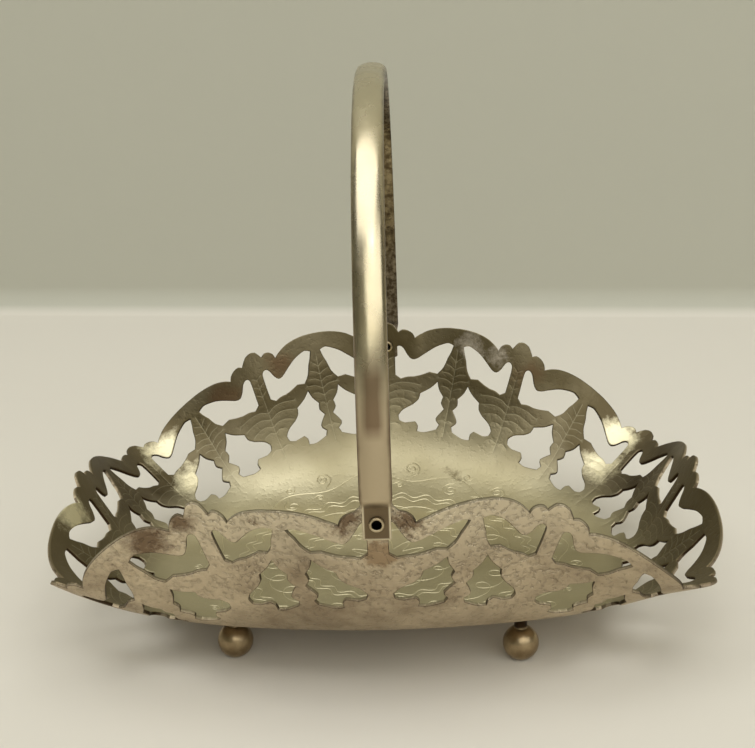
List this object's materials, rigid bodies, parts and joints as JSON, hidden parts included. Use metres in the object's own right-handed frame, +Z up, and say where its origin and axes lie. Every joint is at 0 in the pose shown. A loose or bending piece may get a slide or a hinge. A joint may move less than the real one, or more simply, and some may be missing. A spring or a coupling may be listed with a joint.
{
  "type": "bonbon basket",
  "caption": "Pierced and lobed sweetmeat dish pressed up at its handle sides, on ball feet, with a swing hoop handle on hollow rivets.",
  "frame": {"origin": "middle of the basket on the surface that it stands on", "axes": "+Z up; X runs along the dish between its two low ends; Y runs through both handle rivets, with -Y at the front"},
  "size_m": [0.143, 0.1258, 0.121],
  "materials": {
    "dish_plate": "worn silver plate over brass, tarnished, polished inside and dull outside",
    "handle_plate": "polished silver plate over brass, tarnished along its sides",
    "rivet_plate": "polished silver plate over brass, dark in the bore",
    "ball_plate": "polished silver plate over brass, tarnished"
  },
  "bodies": {
    "basket_body": {"dish": "dish_plate", "hinge_rivet_front": "rivet_plate", "hinge_rivet_back": "rivet_plate", "ball_foot_front_left": "ball_plate", "ball_foot_back_left": "ball_plate", "ball_foot_front_right": "ball_plate", "ball_foot_back_right": "ball_plate"},
    "swing_handle": {"handle": "handle_plate"}
  },
  "joints": [
    {"name": "handle_swing", "type": "hinge", "parent": "basket_body", "child": "swing_handle", "pos_m": [0, 0, 0.04293], "axis": [0, 1, 0], "range_deg": [-88, 92]}
  ]
}
